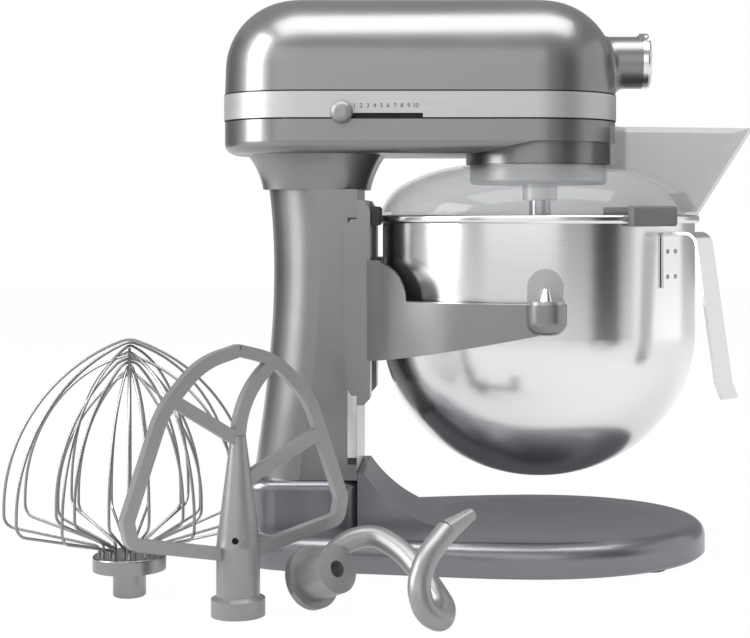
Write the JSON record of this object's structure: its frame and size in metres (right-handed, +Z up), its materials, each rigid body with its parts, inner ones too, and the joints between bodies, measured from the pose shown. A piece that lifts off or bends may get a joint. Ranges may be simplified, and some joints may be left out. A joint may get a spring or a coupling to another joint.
{
  "type": "stand mixer",
  "caption": "Bowl-lift stand mixer with a domed head, polished bowl on a yoke, clear pouring shield with a chute, and a wire whisk, flat beater and dough hook beside it.",
  "frame": {"origin": "On the table, under the axis of the bowl and the planetary gear", "axes": "+X points to the attachment hub, +Y to the side with the lift lever, +Z up"},
  "size_m": [0.5203, 0.4071, 0.419],
  "materials": {
    "body_paint": "satin",
    "base_paint": "satin",
    "band_metal": "satin",
    "knob_metal": "satin",
    "planet_metal": "satin",
    "bowl_steel": "polished",
    "bright_steel": "polished",
    "wire_steel": "polished",
    "clear_plastic": "gloss",
    "grip_rubber": "matte",
    "tool_coat": "satin",
    "black_plastic": "matte",
    "machined_steel": "satin",
    "cast_alloy": "matte",
    "bronze": "satin",
    "magnet": "matte",
    "board": "satin"
  },
  "bodies": {
    "mixer_body": {"base_casting": "base_paint", "base_feet": "grip_rubber", "base_bolts": "machined_steel", "column": "body_paint", "lever_bush": "bronze", "guide_rails": "bright_steel", "rail_stops": "black_plastic", "lower_housing": "body_paint", "cord_gland": "grip_rubber", "trim_band": "band_metal", "top_cover": "body_paint", "hub_hinge_pin": "bright_steel", "speed_guide": "black_plastic", "drip_ring": "body_paint", "ring_gear": "machined_steel", "shaft_bearings": "machined_steel", "hub_bush": "bronze", "gear_plate": "cast_alloy", "motor_can": "machined_steel", "motor_end_cap": "cast_alloy", "motor_bearings": "machined_steel", "motor_magnets": "magnet", "brush_holders": "black_plastic", "control_board": "board"},
    "planetary": {"planetary_carrier": "planet_metal", "planet_bushes": "bronze", "centre_gear": "machined_steel", "centre_shaft": "machined_steel", "bevel_drive_gear": "machined_steel"},
    "beater_drive": {"beater_shaft": "bright_steel", "beater_cross_pin": "bright_steel", "planet_pinion": "machined_steel"},
    "rotor": {"rotor_shaft": "machined_steel", "rotor_core": "machined_steel", "commutator": "bronze", "cooling_fan": "black_plastic", "motor_pinion": "machined_steel"},
    "hub_drive": {"hub_shaft": "bright_steel", "hub_bevel_gear": "machined_steel"},
    "hub_cap": {"hub_cover": "bright_steel"},
    "hub_screw": {"hub_knob": "black_plastic"},
    "speed_lever": {"speed_knob": "knob_metal", "speed_lever_arm": "machined_steel"},
    "bowl_lift": {"bowl_arm": "body_paint", "arm_pins": "bright_steel", "bowl": "bowl_steel", "bowl_brackets": "bowl_steel", "bowl_handle": "bowl_steel", "bowl_stud": "bowl_steel", "latch_spring": "bright_steel", "pouring_shield": "clear_plastic", "shield_chute": "clear_plastic", "shield_grips": "grip_rubber"},
    "lift_handle": {"lift_shaft": "machined_steel", "lift_lever": "machined_steel", "lift_grip": "grip_rubber"},
    "whisk": {"whisk_hub": "bright_steel", "whisk_wires": "wire_steel"},
    "flat_beater": {"flat_beater": "tool_coat"},
    "dough_hook": {"dough_hook": "tool_coat"}
  },
  "joints": [
    {"name": "planetary_spin", "type": "hinge", "parent": "mixer_body", "child": "planetary", "pos_m": [0, 0, 0.29], "axis": [0, 0, 1], "continuous": true},
    {"name": "beater_spin", "type": "hinge", "parent": "planetary", "child": "beater_drive", "pos_m": [0, -0.0285, 0.27], "axis": [0, 0, 1], "continuous": true},
    {"name": "rotor_spin", "type": "hinge", "parent": "mixer_body", "child": "rotor", "pos_m": [-0.06125, 0, 0.36], "axis": [0, 0, 1], "continuous": true},
    {"name": "hub_drive_spin", "type": "hinge", "parent": "mixer_body", "child": "hub_drive", "pos_m": [0.04, 0, 0.3729], "axis": [1, 0, 0], "continuous": true},
    {"name": "hub_cap_flip", "type": "hinge", "parent": "mixer_body", "child": "hub_cap", "pos_m": [0.0812, 0, 0.39204], "axis": [0, -1, 0], "range_deg": [0, 120]},
    {"name": "hub_knob_turn", "type": "hinge", "parent": "mixer_body", "child": "hub_screw", "pos_m": [0.066, 0.02, 0.3729], "axis": [0, 1, 0], "range_deg": [0, 720]},
    {"name": "speed_slide", "type": "slide", "parent": "mixer_body", "child": "speed_lever", "axis": [1, 0, 0], "range_m": [0, 0.0534]},
    {"name": "bowl_lift_slide", "type": "slide", "parent": "mixer_body", "child": "bowl_lift", "axis": [0, 0, 1], "range_m": [-0.036, 0]},
    {"name": "lift_lever_turn", "type": "hinge", "parent": "mixer_body", "child": "lift_handle", "pos_m": [-0.158, 0.03, 0.19], "axis": [0, 1, 0], "range_deg": [-90, 0]},
    {"name": "whisk_pick_up", "type": "slide", "parent": "mixer_body", "child": "whisk", "axis": [0, 0, 1], "range_m": [0, 0.2]},
    {"name": "flat_beater_pick_up", "type": "slide", "parent": "mixer_body", "child": "flat_beater", "axis": [0, 0, 1], "range_m": [0, 0.2]},
    {"name": "dough_hook_pick_up", "type": "slide", "parent": "mixer_body", "child": "dough_hook", "axis": [0, 0, 1], "range_m": [0, 0.2]}
  ],
  "couplings": [
    {"joint": "beater_spin", "follows": "planetary_spin", "ratio": -3.375},
    {"joint": "rotor_spin", "follows": "planetary_spin", "ratio": -4},
    {"joint": "hub_drive_spin", "follows": "planetary_spin", "ratio": 1.5},
    {"joint": "lift_lever_turn", "follows": "bowl_lift_slide", "rad_per_m": 43.63}
  ]
}
